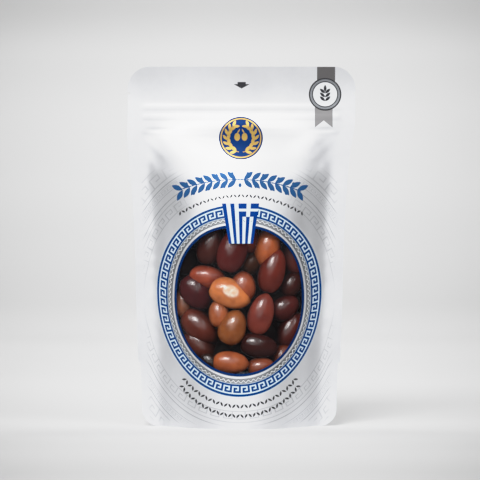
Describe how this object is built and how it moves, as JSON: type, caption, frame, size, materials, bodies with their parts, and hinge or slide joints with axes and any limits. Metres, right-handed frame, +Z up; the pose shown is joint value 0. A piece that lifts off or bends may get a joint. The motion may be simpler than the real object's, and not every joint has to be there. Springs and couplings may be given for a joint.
{
  "type": "stand-up pouch of olives",
  "caption": "White stand-up pouch with a press zip, tear notches and an oval clear window that shows brown and purple olives.",
  "frame": {"origin": "middle of the pouch's footprint, on the surface it stands on", "axes": "+Z up, -Y out of the printed front with the window, +X to the right as seen from the front"},
  "size_m": [0.13, 0.0516, 0.205],
  "materials": {
    "film": "satin white film, printed blue, navy, gold and grey",
    "olive": "wet glossy olive skin, from orange-brown to dark purple",
    "clear_film": "clear thin film"
  },
  "bodies": {
    "root": {"pouch": "film", "olives": "olive", "window": "clear_film"}
  },
  "joints": []
}
